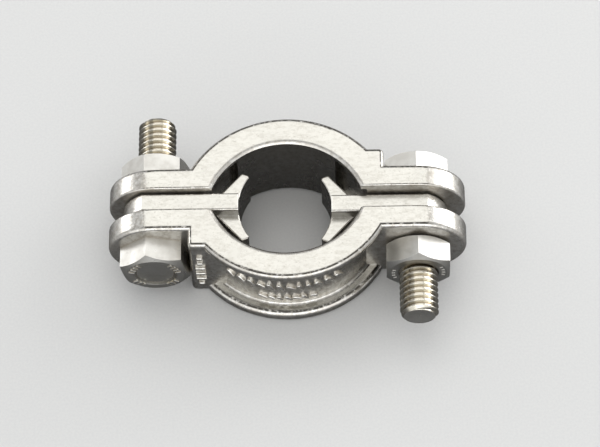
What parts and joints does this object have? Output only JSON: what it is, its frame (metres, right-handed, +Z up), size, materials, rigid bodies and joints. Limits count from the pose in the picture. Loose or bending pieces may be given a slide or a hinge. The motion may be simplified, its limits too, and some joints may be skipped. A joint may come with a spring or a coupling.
{
  "type": "pipe repair clamp",
  "caption": "Cast split-ring clamp that bolts round a pipe or hose end, with loose saddles bridging the gaps between its halves.",
  "frame": {"origin": "centre of the pipe opening, at half the ring's height", "axes": "+Z up along the pipe, +X along the lugs to the right, +Y along the bolts from the front half to the rear half"},
  "size_m": [0.074, 0.0456, 0.0202],
  "materials": {
    "cast_stainless": "tumbled investment casting",
    "saddle_stainless": "tumbled investment casting",
    "bolt_stainless": "cold headed, rolled thread",
    "nut_stainless": "machined"
  },
  "bodies": {
    "front_half": {"clamp_half_front": "cast_stainless", "left_bolt": "bolt_stainless"},
    "rear_half": {"clamp_half_rear": "cast_stainless", "right_bolt": "bolt_stainless"},
    "left_nut_body": {"left_nut": "nut_stainless"},
    "right_nut_body": {"right_nut": "nut_stainless"},
    "left_saddle_body": {"left_saddle": "saddle_stainless"},
    "right_saddle_body": {"right_saddle": "saddle_stainless"}
  },
  "joints": [
    {"name": "clamp_opening", "type": "slide", "parent": "front_half", "child": "rear_half", "axis": [0, 1, 0], "range_m": [-0.0005, 0.0098]},
    {"name": "left_nut_turn", "type": "hinge", "parent": "rear_half", "child": "left_nut_body", "pos_m": [-0.0273, 0.01, 0], "axis": [0, 1, 0], "range_deg": [-145, 2825]},
    {"name": "right_nut_turn", "type": "hinge", "parent": "front_half", "child": "right_nut_body", "pos_m": [0.0269, -0.01, 0], "axis": [0, 1, 0], "range_deg": [-2825, 145]},
    {"name": "left_saddle_slide", "type": "slide", "parent": "front_half", "child": "left_saddle_body", "axis": [0, 1, 0], "range_m": [-0.00026, 0.00495]},
    {"name": "right_saddle_slide", "type": "slide", "parent": "front_half", "child": "right_saddle_body", "axis": [0, 1, 0], "range_m": [-0.00026, 0.00495]}
  ],
  "couplings": [
    {"joint": "left_nut_turn", "follows": "clamp_opening", "rad_per_m": 5026.5},
    {"joint": "right_nut_turn", "follows": "clamp_opening", "rad_per_m": -5026.5},
    {"joint": "left_saddle_slide", "follows": "clamp_opening", "ratio": 0.5},
    {"joint": "right_saddle_slide", "follows": "clamp_opening", "ratio": 0.5}
  ]
}
